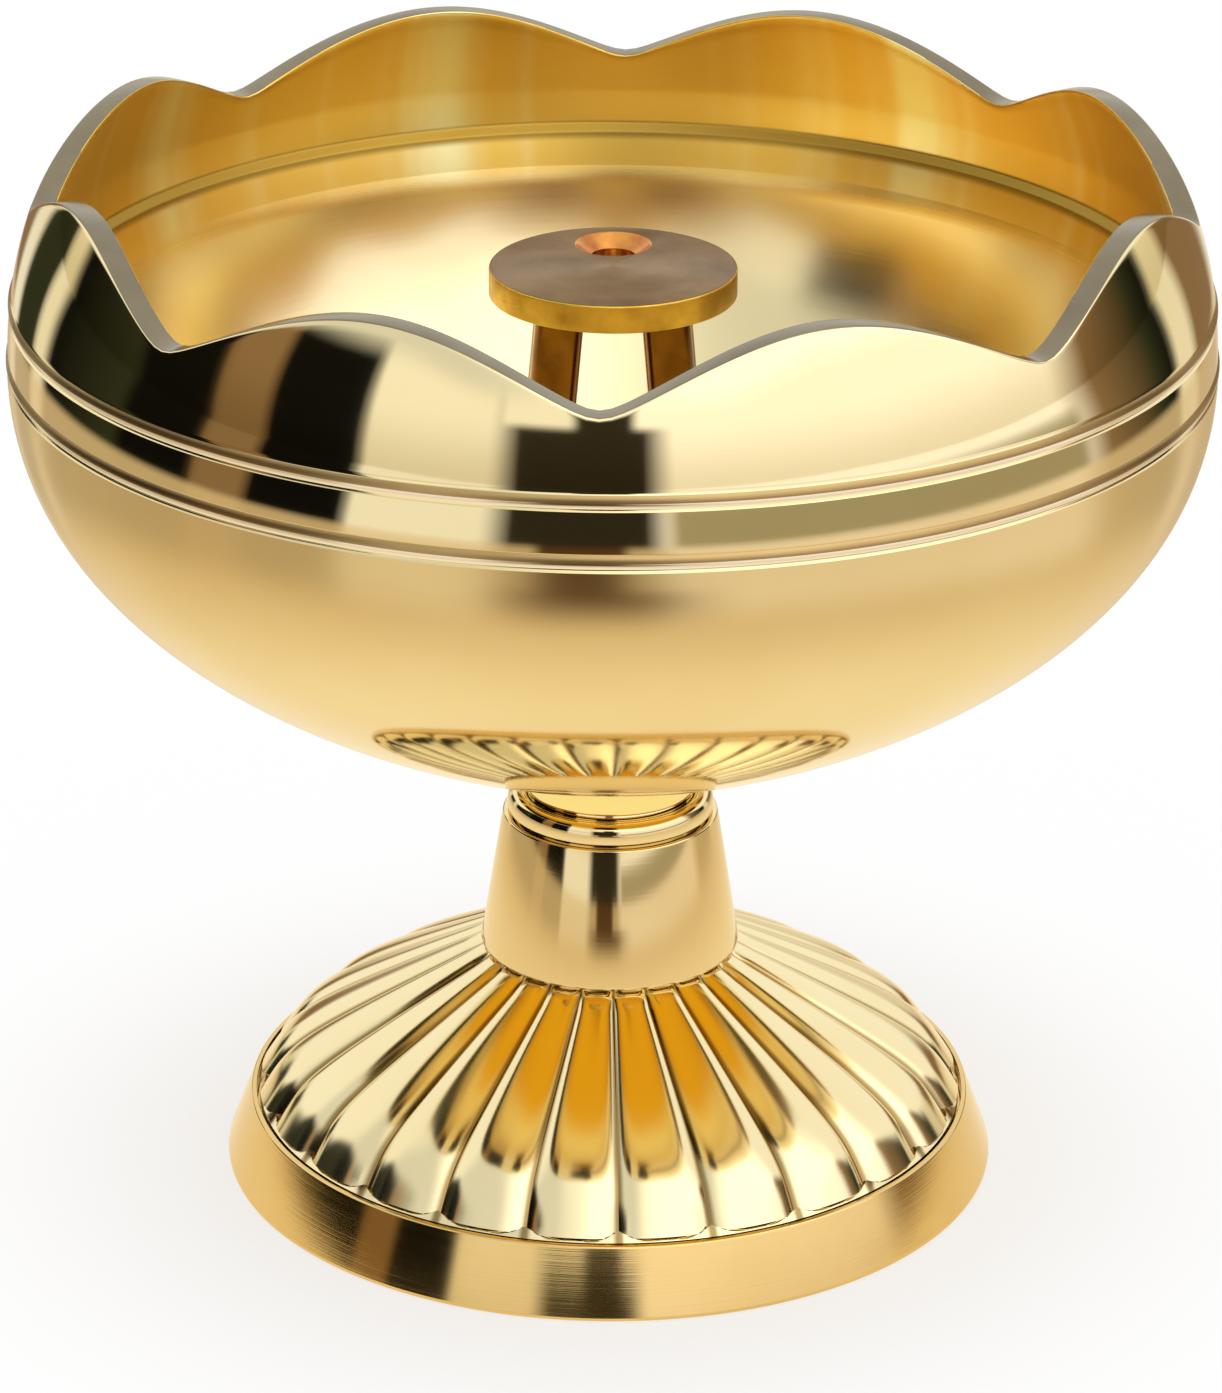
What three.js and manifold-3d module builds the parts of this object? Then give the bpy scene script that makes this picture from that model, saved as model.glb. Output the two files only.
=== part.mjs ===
// A brass oil lamp: a lotus bowl with a loose wick stand, screwed down on a fluted pedestal.
// Millimetres, +Z up. The origin is the centre of the face that the lamp rests on.

import * as THREE from 'three';
import { mergeVertices, toCreasedNormals } from 'three/addons/utils/BufferGeometryUtils.js';
import Module from 'manifold-3d';

const wasm = await Module();
wasm.setup();

// Clearances and edges
const fitGap = 0.3; // air between pieces that rest on or in each other
const edgeBreak = 0.3; // bevel on turned edges

// Foot ring
const footRadius = 39.6;
const footHeight = 7;
const footLean = 2.65; // how far the brushed side leans in on its way up
const footRounding = 0.5; // size of the rounded upper edge
const footWall = 6.5; // width of the face that rests on the table
const seatDepth = 2; // rebate that takes the dome's rim

// Fluted dome
const domeHeight = 17.7;
const domeWall = 1.8;
const fluteCount = 24;
const fluteDepth = 0.95; // valley depth at the rim
const fluteTopDepth = 0.5; // valley depth beside the stem
const fluteFlatness = 3; // a higher power gives flatter backs and narrower valleys
const domeRimHeight = 1.9; // plain rim below the flutes
const landOverlap = 0.6; // how far the stem reaches past the dome's flat top
const fluteTurn = 9.2; // degrees from the front to the nearest flute crest

// Stem
const stemHeight = 14.5;
const stemBottomRadius = 13.2;
const stemTopRadius = 10.9;
const stemWall = 3;
const stemCapThickness = 4;

// Collar between stem and bowl
const collarHeight = 2.2;
const collarInset = 0.45; // step in from the stem's top edge
const collarSideHeight = 0.7;
const collarCrown = 1.15; // how far the rounded shoulder draws in

// Tie stud with its washer and nut
const studRadius = 4;
const studGrip = 7; // depth of the threaded socket in the bowl
const studTail = 1.5; // thread showing below the nut
const washerThickness = 1.6;
const washerWidth = 4;
const nutHeight = 6.5;
const nutWidth = 13; // between two opposite flats

// Bowl, heights measured from the underside of its boss
const bossHeight = 2.2;
const coveRadius = 1.3; // hollow curve from the boss to the underside
const bandRadius = 59.3; // of the wall at the lower bead, where it starts to lean in
const wallArcRadius = 40;
const lowerBeadHeight = 47.15;
const beadSpacing = 5.6; // from the lower bead up to the upper bead
const beadRadius = 1.4;
const beadRise = 0.2; // how far a bead stands out of the wall
const lowerBowlSwell = 0.1; // how far the lower bowl swells past the wall
const upperWallHeight = 7.35; // from the upper bead up to the valleys of the rim
const petalRootDepth = 4.5; // the rim's waves fade out this far below the valleys
const petalHeight = 6.4;
const petalCount = 8;
const valleySoftness = 0.12; // roundness of the valley between two petals
const rimThickness = 2.4;
const shoulderDepth = 0.85; // from the upper bead down to the edge where the wall grows thicker
const shoulderWidth = 0.9;
const shoulderDrop = 0.5; // height of the slope at that edge
const dishLipStep = 0.3; // small lip turned where the dish begins
const dishLipRise = 1;
const dishDepth = 4.9; // from that edge down to the top of the dish
const dishInset = 5.4; // wall thickness at the top of the dish
const floorHeight = 10.4;
const floorMargin = 2.5; // flat floor beyond the feet of the wick stand
const bowlTurn = -1.2; // degrees that the screwed-on bowl stops short of straight

// Wick stand
const plateRadius = 12.2;
const plateThickness = 2.8;
const wickHoleRadius = 2.2;
const wickMouthRadius = 3.74;
const wickMouthDepth = 1.2;
const wickHoleOffset = 6.8; // the hole lies behind the middle of the plate
const legCount = 4;
const legRadius = 2.4;
const legLength = 42.5;
const legTopDistance = 7.1; // from the plate's middle to a leg
const legSplay = 7; // degrees
const legSocketDepth = 1.2;

// How far each end pulls its curve along, as shares of the curve's whole reach and rise
const domeRimPull = { radius: 0.1, height: 0.33 };
const domeTopPull = { radius: 0.73, height: 0.53 };
const ceilingTopPull = { radius: 0.45, height: 0.38 };
const ceilingRimPull = { radius: 0.08, height: 0.55 };
const collarSidePull = { radius: 0, height: 0.8 };
const collarTopPull = { radius: 0.5, height: 0 };
const undersideBossPull = { radius: 0.4, height: 0.17 };
const undersideBandPull = { radius: 0, height: 0.57 };
const dishTopPull = { radius: 0.06, height: 0.36 };
const dishFloorPull = { radius: 0.65, height: 0.14 };

// Heights of the stacked pieces
const domeBase = footHeight - seatDepth + fitGap;
const stemBase = domeBase + domeHeight + fitGap;
const collarBase = stemBase + stemHeight + fitGap;
const bowlBase = collarBase + collarHeight + fitGap;
const standBase = bowlBase + floorHeight + fitGap;
const upperBeadHeight = lowerBeadHeight + beadSpacing;
const notchHeight = upperBeadHeight + upperWallHeight;
const petalRootHeight = notchHeight - petalRootDepth;
const shoulderHeight = upperBeadHeight - shoulderDepth;
const dishHeight = shoulderHeight - dishDepth;

// Radii shared by neighbours
const footTopRadius = footRadius - footLean;
const seatRadius = footTopRadius - footRounding;
const domeRadius = seatRadius - fitGap;
const landRadius = stemBottomRadius - landOverlap;
const boreRadius = studRadius + fitGap;
const collarRadius = stemTopRadius - collarInset;
const collarTopRadius = collarRadius - collarCrown;
const bossRadius = collarTopRadius - edgeBreak;
const legLean = Math.tan(THREE.MathUtils.degToRad(legSplay));
const footDistance = legTopDistance + legLean * legLength;
const floorRadius = footDistance + legRadius + floorMargin;

// How finely round shapes are divided
const bowlSides = petalCount * 8;
const domeSides = fluteCount * 6;
const footSides = 72;
const stemSides = 48;
const pinSides = 24;
const crestSteps = 8;
const ceilingSteps = 4;
const collarSteps = 4;
const undersideSteps = 12;
const dishSteps = 6;
const beadSteps = 4;
const smoothAngle = 28; // degrees between faces that still look like one surface
const mergeDistance = 1e-4;
const cutterReach = 1; // how far a cutting shape stands clear of the piece

const brass = (name, color, roughness) => {
  const material = new THREE.MeshStandardMaterial({ color, metalness: 1, roughness });
  material.name = name;
  return material;
};
const polishedBrass = brass('polished_brass', 0xd9bd7c, 0.08);
const satinBrass = brass('satin_brass', 0xcfa561, 0.3);
const brushedBrass = brass('brushed_brass', 0xc79a52, 0.35);
const agedBrass = brass('aged_brass', 0x9a7434, 0.4);
const steel = brass('zinc_steel', 0xa8a9ab, 0.35);

const at = (radius, height) => ({ radius, height });

// Points on a curve between two outline points, with how far each end pulls it along
function curve(start, startPull, end, endPull, steps) {
  const reach = end.radius - start.radius;
  const rise = end.height - start.height;
  const bezier = new THREE.CubicBezierCurve(
    new THREE.Vector2(start.radius, start.height),
    new THREE.Vector2(start.radius + startPull.radius * reach, start.height + startPull.height * rise),
    new THREE.Vector2(end.radius - endPull.radius * reach, end.height - endPull.height * rise),
    new THREE.Vector2(end.radius, end.height),
  );
  return bezier.getPoints(steps).map((p) => at(p.x, p.y));
}

// Points on a circular arc in the outline plane, angles in degrees from straight out
function arc(centre, size, from, to, steps) {
  const points = [];
  for (let i = 0; i <= steps; i++) {
    const angle = THREE.MathUtils.degToRad(from + ((to - from) * i) / steps);
    points.push(at(centre.radius + size * Math.cos(angle), centre.height + size * Math.sin(angle)));
  }
  return points;
}

// One closed skin: shared corners merged, triangles without area left out
function sealed(geometry) {
  geometry.deleteAttribute('normal');
  geometry.deleteAttribute('uv');
  const merged = mergeVertices(geometry, mergeDistance);
  const corners = merged.index.array;
  const kept = [];
  for (let i = 0; i < corners.length; i += 3) {
    const [a, b, c] = corners.subarray(i, i + 3);
    if (a !== b && b !== c && c !== a) kept.push(a, b, c);
  }
  merged.setIndex(kept);
  return merged;
}

// A solid turned about +Z. The outline runs anticlockwise, outside going up. A reshape function
// may move each outline point at each angle, counted from the front towards +X.
function turned(outline, sides, reshape = null) {
  const onAxis = outline[0].radius === 0;
  const loop = onAxis ? outline : [...outline, outline[0]];
  const lathe = new THREE.LatheGeometry(loop.map((p) => new THREE.Vector2(p.radius, p.height)), sides);
  if (reshape) {
    const position = lathe.attributes.position;
    for (let i = 0; i < position.count; i++) {
      const side = Math.floor(i / loop.length) % sides;
      const angle = (side / sides) * 2 * Math.PI;
      const point = reshape(loop[i % loop.length], angle);
      position.setXYZ(i, point.radius * Math.sin(angle), point.height, point.radius * Math.cos(angle));
    }
  }
  lathe.rotateX(Math.PI / 2);
  return sealed(lathe);
}

function toSolid(geometry) {
  return new wasm.Manifold(
    new wasm.Mesh({
      numProp: 3,
      vertProperties: new Float32Array(geometry.attributes.position.array),
      triVerts: new Uint32Array(geometry.index.array),
    }),
  );
}

function toGeometry(solid) {
  const mesh = solid.getMesh();
  const geometry = new THREE.BufferGeometry();
  geometry.setAttribute('position', new THREE.BufferAttribute(mesh.vertProperties, 3));
  geometry.setIndex(new THREE.BufferAttribute(mesh.triVerts, 1));
  return geometry;
}

function piece(name, geometry, material) {
  const shaded = toCreasedNormals(geometry, THREE.MathUtils.degToRad(smoothAngle));
  const mesh = new THREE.Mesh(shaded, material);
  mesh.name = name;
  return mesh;
}

// Foot ring: a heavy turned ring with a leaning side and a rebate for the dome
function footRing() {
  const innerRadius = footRadius - footWall;
  const lean = THREE.MathUtils.radToDeg(Math.atan2(footLean, footHeight));
  const edgeCentre = at(footTopRadius - footRounding, footHeight - footRounding);
  const outline = [
    at(innerRadius, 0),
    at(footRadius - edgeBreak, 0),
    at(footRadius, edgeBreak),
    ...arc(edgeCentre, footRounding, lean, 90, 3),
    at(seatRadius, footHeight - seatDepth),
    at(innerRadius, footHeight - seatDepth),
  ];
  return piece('foot_ring', turned(outline, footSides), brushedBrass);
}

// How far a fluted surface lies below the crest line, from 0 on a crest to 1 in a valley
function fluteDrop(angle) {
  const pitch = (2 * Math.PI) / fluteCount;
  const across = Math.abs(angle / pitch - Math.round(angle / pitch));
  return (2 * across) ** fluteFlatness;
}

// Fluted dome: a thin shell whose rim drops into the foot ring
function flutedDome() {
  const crestStart = at(domeRadius, domeRimHeight);
  const crestEnd = at(stemBottomRadius, domeHeight - 0.25 * fluteTopDepth);
  const reach = crestStart.radius - crestEnd.radius;
  const crest = curve(crestStart, domeRimPull, crestEnd, domeTopPull, crestSteps);
  const fluted = crest.map((point, i, all) => {
    const before = all[Math.max(i - 1, 0)];
    const after = all[Math.min(i + 1, all.length - 1)];
    const length = Math.hypot(after.radius - before.radius, after.height - before.height);
    const share = (domeRadius - point.radius) / reach;
    return {
      ...point,
      inward: at(-(after.height - before.height) / length, (after.radius - before.radius) / length),
      depth: fluteDepth + (fluteTopDepth - fluteDepth) * share,
    };
  });
  const innerRim = domeRadius - fluteDepth - domeWall;
  const ceiling = domeHeight - domeWall;
  const innerTop = at(landRadius - domeWall, ceiling);
  const inside = curve(innerTop, ceilingTopPull, at(innerRim, 0), ceilingRimPull, ceilingSteps);
  const outline = [
    at(domeRadius, 0),
    at(domeRadius, domeRimHeight),
    ...fluted,
    at(landRadius, domeHeight),
    at(boreRadius, domeHeight),
    at(boreRadius, ceiling),
    ...inside,
  ];
  const reshape = (point, angle) => {
    if (!point.inward) return point;
    const drop = point.depth * fluteDrop(angle);
    return at(point.radius + drop * point.inward.radius, point.height + drop * point.inward.height);
  };
  return piece('fluted_dome', turned(outline, domeSides, reshape), polishedBrass);
}

// Stem: a tapered turned cup, open below, with a bored cap
function stem() {
  const ceiling = stemHeight - stemCapThickness;
  const outline = [
    at(stemBottomRadius - stemWall, 0),
    at(stemBottomRadius - edgeBreak, 0),
    at(stemBottomRadius, edgeBreak),
    at(stemTopRadius, stemHeight - edgeBreak),
    at(stemTopRadius - edgeBreak, stemHeight),
    at(boreRadius, stemHeight),
    at(boreRadius, ceiling),
    at(stemTopRadius - stemWall, ceiling),
  ];
  return piece('stem', turned(outline, stemSides), polishedBrass);
}

// Neck collar: a ring with a rounded shoulder between stem and bowl
function neckCollar() {
  const side = at(collarRadius, collarSideHeight);
  const top = at(collarTopRadius, collarHeight);
  const shoulder = curve(side, collarSidePull, top, collarTopPull, collarSteps);
  const outline = [at(boreRadius, 0), at(collarRadius, 0), ...shoulder, at(boreRadius, collarHeight)];
  return piece('neck_collar', turned(outline, stemSides), polishedBrass);
}

// Tie stud: one threaded rod from the bowl's socket down to the nut
const ceilingHeight = domeBase + domeHeight - domeWall;
const washerTop = ceilingHeight - fitGap;
const nutTop = washerTop - washerThickness - fitGap;
const studBottom = nutTop - nutHeight - studTail;
const studTop = bowlBase + studGrip - fitGap;

function tieStud() {
  const length = studTop - studBottom;
  const outline = [
    at(0, 0),
    at(studRadius - edgeBreak, 0),
    at(studRadius, edgeBreak),
    at(studRadius, length - edgeBreak),
    at(studRadius - edgeBreak, length),
    at(0, length),
  ];
  const mesh = piece('tie_stud', turned(outline, pinSides), steel);
  mesh.position.z = studBottom;
  return mesh;
}

function baseWasher() {
  const outline = [
    at(boreRadius, 0),
    at(boreRadius + washerWidth, 0),
    at(boreRadius + washerWidth, washerThickness),
    at(boreRadius, washerThickness),
  ];
  const mesh = piece('base_washer', turned(outline, pinSides), steel);
  mesh.position.z = washerTop - washerThickness;
  return mesh;
}

function baseNut() {
  const flats = 6;
  const cornerRadius = nutWidth / 2 / Math.cos(Math.PI / flats);
  const hexagon = new THREE.Shape();
  for (let i = 0; i < flats; i++) {
    const angle = (2 * Math.PI * i) / flats;
    const move = i === 0 ? 'moveTo' : 'lineTo';
    hexagon[move](cornerRadius * Math.cos(angle), cornerRadius * Math.sin(angle));
  }
  hexagon.closePath();
  hexagon.holes.push(new THREE.Path().absarc(0, 0, boreRadius, 0, 2 * Math.PI, true));
  const nut = new THREE.ExtrudeGeometry(hexagon, {
    depth: nutHeight,
    bevelEnabled: false,
    curveSegments: pinSides,
  });
  const mesh = piece('base_nut', sealed(nut), steel);
  mesh.position.z = nutTop - nutHeight;
  return mesh;
}

// Radius of the wall's outside at a height: an arc that leans in towards the rim
function wallRadius(height) {
  const above = height - lowerBeadHeight;
  return bandRadius - wallArcRadius + Math.sqrt(wallArcRadius ** 2 - above ** 2);
}

// Height of the scalloped rim above the valleys, from 0 in a valley to 1 on a petal's tip
function petalShare(angle) {
  const wave = Math.abs(Math.sin((petalCount * angle) / 2));
  const softened = Math.hypot(wave, valleySoftness) - valleySoftness;
  return softened / (Math.hypot(1, valleySoftness) - valleySoftness);
}

// A low round bead that stands out of the wall at a height
const beadSweep = THREE.MathUtils.radToDeg(Math.acos(1 - beadRise / beadRadius));
const beadHalfHeight = beadRadius * Math.sin(THREE.MathUtils.degToRad(beadSweep));

function bead(height) {
  const centre = at(wallRadius(height) + beadRise - beadRadius, height);
  return arc(centre, beadRadius, -beadSweep, beadSweep, beadSteps);
}

// The underside, from the boss out to the lower bead
function bowlUnderside() {
  const start = at(bossRadius + coveRadius, bossHeight + coveRadius);
  const end = at(bandRadius + lowerBowlSwell, lowerBeadHeight - beadHalfHeight - lowerBowlSwell);
  const cove = arc(at(start.radius, bossHeight), coveRadius, 180, 90, 2);
  return [
    at(bossRadius - edgeBreak, 0),
    at(bossRadius, edgeBreak),
    ...cove.slice(0, -1),
    ...curve(start, undersideBossPull, end, undersideBandPull, undersideSteps),
  ];
}

// The inside, from the rim down to the flat floor that the wick stand's feet rest on
function bowlInside() {
  const rootInner = wallRadius(petalRootHeight) - rimThickness;
  const dishTop = at(bandRadius - dishInset, dishHeight);
  const dishFloor = at(floorRadius, floorHeight);
  return [
    at(wallRadius(notchHeight) - rimThickness, notchHeight),
    at(rootInner, petalRootHeight),
    at(rootInner - 0.5 * shoulderWidth, shoulderHeight + 0.5 * shoulderDrop),
    at(rootInner - shoulderWidth, shoulderHeight - 0.5 * shoulderDrop),
    at(dishTop.radius + dishLipStep, dishHeight + dishLipRise),
    ...curve(dishTop, dishTopPull, dishFloor, dishFloorPull, dishSteps),
  ];
}

// Lotus bowl: one casting turned inside and out, its rim cut into petals
function lotusBowl() {
  const onWall = (height) => at(wallRadius(height), height);
  const rimFace = [
    at(wallRadius(notchHeight) - edgeBreak / 3, notchHeight - edgeBreak),
    at(wallRadius(notchHeight) - edgeBreak, notchHeight),
  ];
  const outline = [
    at(0, studGrip),
    at(boreRadius, studGrip),
    at(boreRadius, 0),
    ...bowlUnderside(),
    ...bead(lowerBeadHeight),
    onWall(0.5 * (lowerBeadHeight + upperBeadHeight)),
    ...bead(upperBeadHeight),
    onWall(petalRootHeight),
    onWall(0.5 * (petalRootHeight + notchHeight)),
    ...rimFace,
    ...bowlInside(),
    at(0, floorHeight),
  ];
  const reshape = (point, angle) => {
    const share = (point.height - petalRootHeight) / (notchHeight - petalRootHeight);
    if (share <= 0) return point;
    const height = point.height + share * petalHeight * petalShare(angle);
    return at(point.radius + wallRadius(height) - wallRadius(point.height), height);
  };
  return piece('lotus_bowl', turned(outline, bowlSides, reshape), satinBrass);
}

// A leg's round body, leaning outwards towards the front, from its level foot up to a height
function leaningPin(radius, from, to) {
  const outline = [at(0, from), at(radius, from), at(radius, to), at(0, to)];
  const pin = turned(outline, pinSides);
  pin.applyMatrix4(new THREE.Matrix4().makeShear(0, 0, 0, 0, 0, legLean));
  pin.translate(0, -footDistance, 0);
  return pin;
}

const legAngles = Array.from({ length: legCount }, (_, i) => ((i + 0.5) * 2 * Math.PI) / legCount);

// Wick plate: a thick disc with a countersunk wick hole and blind sockets for the legs
function wickPlate() {
  const underside = legLength - legSocketDepth + fitGap;
  const disc = turned(
    [
      at(0, 0),
      at(plateRadius, 0),
      at(plateRadius, plateThickness - 0.5 * edgeBreak),
      at(plateRadius - 0.5 * edgeBreak, plateThickness),
      at(0, plateThickness),
    ],
    stemSides,
  );
  const hole = turned(
    [
      at(0, -cutterReach),
      at(wickHoleRadius, -cutterReach),
      at(wickHoleRadius, plateThickness - wickMouthDepth),
      at(wickMouthRadius, plateThickness),
      at(wickMouthRadius, plateThickness + cutterReach),
      at(0, plateThickness + cutterReach),
    ],
    pinSides,
  );
  hole.translate(0, wickHoleOffset, 0);
  let solid = toSolid(disc).subtract(toSolid(hole));
  for (const angle of legAngles) {
    const socket = leaningPin(legRadius + fitGap, underside - cutterReach, legLength + fitGap);
    socket.translate(0, 0, -underside);
    socket.rotateZ(angle);
    solid = solid.subtract(toSolid(socket));
  }
  const mesh = piece('wick_plate', toGeometry(solid), agedBrass);
  mesh.position.z = underside;
  return mesh;
}

function wickLegs() {
  return legAngles.map((angle, i) => {
    const mesh = piece(`wick_leg_${i + 1}`, leaningPin(legRadius, 0, legLength), agedBrass);
    mesh.rotation.z = angle;
    return mesh;
  });
}

function raised(height, turn, ...members) {
  const group = new THREE.Group();
  group.position.z = height;
  group.rotation.z = THREE.MathUtils.degToRad(turn);
  group.add(...members);
  return group;
}

const lamp = new THREE.Group();
lamp.name = 'lotus_lamp';
lamp.add(footRing());
lamp.add(raised(domeBase, fluteTurn, flutedDome()));
lamp.add(raised(stemBase, 0, stem()));
lamp.add(raised(collarBase, 0, neckCollar()));
lamp.add(tieStud(), baseWasher(), baseNut());
lamp.add(raised(bowlBase, bowlTurn, lotusBowl()));
lamp.add(raised(standBase, 0, wickPlate(), ...wickLegs()));

export default lamp;
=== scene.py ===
# A brass oil lamp: a lotus bowl with a loose wick stand, screwed down on a fluted pedestal.
# Metres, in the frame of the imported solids. The front of the lamp faces -Y.
import math

import bmesh
import bpy
from mathutils import Matrix, Vector


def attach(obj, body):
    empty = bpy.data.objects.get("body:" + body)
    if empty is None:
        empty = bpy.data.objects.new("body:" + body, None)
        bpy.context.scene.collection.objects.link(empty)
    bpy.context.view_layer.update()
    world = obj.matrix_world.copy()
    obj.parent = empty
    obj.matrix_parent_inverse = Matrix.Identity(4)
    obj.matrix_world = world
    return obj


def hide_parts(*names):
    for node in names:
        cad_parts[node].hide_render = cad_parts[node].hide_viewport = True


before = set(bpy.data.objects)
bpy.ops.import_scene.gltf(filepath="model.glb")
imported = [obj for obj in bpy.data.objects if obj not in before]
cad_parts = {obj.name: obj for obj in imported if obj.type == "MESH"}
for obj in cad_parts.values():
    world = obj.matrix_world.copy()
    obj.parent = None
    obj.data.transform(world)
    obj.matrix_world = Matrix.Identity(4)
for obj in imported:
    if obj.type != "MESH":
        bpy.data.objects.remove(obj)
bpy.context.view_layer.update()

# The camera stands in front of the lamp and looks down on it, as in the photograph.
camera_data = bpy.data.cameras.new("camera")
camera_data.lens = 153.4
camera_data.clip_start = 0.05
camera_data.clip_end = 20
camera = bpy.data.objects.new("camera", camera_data)
bpy.context.scene.collection.objects.link(camera)
camera.matrix_world = (
    Matrix.Translation((0, -0.55197, 0.28237))
    @ Matrix.Rotation(math.radians(-22.835), 4, "X")
    @ Matrix.Rotation(math.radians(-0.294), 4, "Y")
    @ Matrix.Rotation(math.radians(90), 4, "X")
)
bpy.context.scene.camera = camera
bpy.context.scene.view_settings.view_transform = "Standard"


# Foot ring: a heavy ring turned from brass, flat underneath, with a leaning side that is
# brushed round and round and a rebate inside its top edge that takes the rim of the dome.
MM = 0.001
TURN = 2 * math.pi


def spot(radius, height, azimuth=0.0):
    """A place in the frame from millimetres and an angle counted from the front towards +X."""
    return Vector(
        (radius * MM * math.sin(azimuth), -radius * MM * math.cos(azimuth), height * MM)
    )


def bend(start, pull, end, end_pull, steps):
    """Points on a smooth curve between two (radius, height) points, pulled along at each end
    by shares of its whole reach and rise."""
    reach, rise = end[0] - start[0], end[1] - start[1]
    inner = (start[0] + pull[0] * reach, start[1] + pull[1] * rise)
    outer = (end[0] - end_pull[0] * reach, end[1] - end_pull[1] * rise)
    points = []
    for i in range(steps + 1):
        t = i / steps
        weights = ((1 - t) ** 3, 3 * (1 - t) ** 2 * t, 3 * (1 - t) * t**2, t**3)
        shares = list(zip(weights, (start, inner, outer, end)))
        points.append(tuple(sum(w * p[k] for w, p in shares) for k in (0, 1)))
    return points


def rounded(corners, steps=6):
    """An outline with each (radius, height, rounding) corner turned into a small arc."""
    points = []
    for i, corner in enumerate(corners):
        if len(corner) < 3 or corner[2] <= 0:
            points.append((corner[0], corner[1]))
            continue
        here = Vector(corner[:2])
        back = Vector(corners[i - 1][:2]) - here
        ahead = Vector(corners[(i + 1) % len(corners)][:2]) - here
        half = back.angle(ahead) / 2
        cut = min(corner[2] / math.tan(half), 0.48 * back.length, 0.48 * ahead.length)
        start = here + back.normalized() * cut
        end = here + ahead.normalized() * cut
        for j in range(steps + 1):
            t = j / steps
            p = start * (1 - t) ** 2 + here * 2 * t * (1 - t) + end * t**2
            points.append((p.x, p.y))
    return points


def start_outline(name, points, azimuth=0.0):
    """Draws an outline as a chain of edges in the upright plane at an azimuth, in edit mode."""
    bpy.ops.object.select_all(action="DESELECT")
    first = spot(*points[0], azimuth)
    bpy.ops.mesh.primitive_plane_add(size=MM, location=first)
    piece = bpy.context.object
    piece.name = piece.data.name = name
    bpy.ops.object.transform_apply(location=True, rotation=True, scale=True)
    bpy.ops.object.mode_set(mode="EDIT")
    bpy.ops.mesh.select_mode(type="VERT")
    bpy.ops.mesh.select_all(action="SELECT")
    bpy.ops.mesh.merge(type="CENTER")
    for a, b in zip(points, points[1:]):
        step = spot(*b, azimuth) - spot(*a, azimuth)
        bpy.ops.mesh.extrude_vertices_move(TRANSFORM_OT_translate={"value": step})
    return piece


def sweep(steps, angle=TURN):
    """Turns what is drawn about the upright axis into a surface."""
    bpy.ops.mesh.select_all(action="SELECT")
    bpy.ops.mesh.spin(steps=steps, angle=angle, center=(0, 0, 0), axis=(0, 0, 1))


def close_skin(piece, crease=35):
    """Merges what meets, turns the faces outwards and leaves edit mode, smooth but for creases."""
    bpy.ops.mesh.select_all(action="SELECT")
    bpy.ops.mesh.remove_doubles(threshold=0.002 * MM)
    bpy.ops.mesh.normals_make_consistent(inside=False)
    bpy.ops.mesh.select_all(action="DESELECT")
    bpy.ops.object.mode_set(mode="OBJECT")
    bpy.ops.object.shade_smooth_by_angle(angle=math.radians(crease))
    return piece


def turned(name, points, steps):
    """A closed piece of revolution from an outline in millimetres."""
    piece = start_outline(name, points)
    sweep(steps)
    return close_skin(piece)


def group_of(name, inputs, outputs):
    """An empty shader node group with named number inputs and outputs."""
    group = bpy.data.node_groups.new(name, "ShaderNodeTree")
    for label, value in inputs:
        socket = group.interface.new_socket(label, in_out="INPUT", socket_type="NodeSocketFloat")
        socket.default_value = value
    for label in outputs:
        group.interface.new_socket(label, in_out="OUTPUT", socket_type="NodeSocketFloat")
    nodes = group.nodes
    return group, nodes.new("NodeGroupInput"), nodes.new("NodeGroupOutput")


def math_node(tree, kind, first, second=None, third=None):
    node = tree.nodes.new("ShaderNodeMath")
    node.operation = kind
    for socket, value in zip(node.inputs, (first, second, third)):
        if value is None:
            continue
        if isinstance(value, (int, float)):
            socket.default_value = value
        else:
            tree.links.new(value, socket)
    return node.outputs[0]


def mix_colour(tree, factor, first, second):
    node = tree.nodes.new("ShaderNodeMix")
    node.data_type = "RGBA"
    ends = ((node.inputs["Factor"], factor), (node.inputs[6], first), (node.inputs[7], second))
    for socket, value in ends:
        if isinstance(value, (int, float, tuple)):
            socket.default_value = value
        else:
            tree.links.new(value, socket)
    return node.outputs[2]


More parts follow.
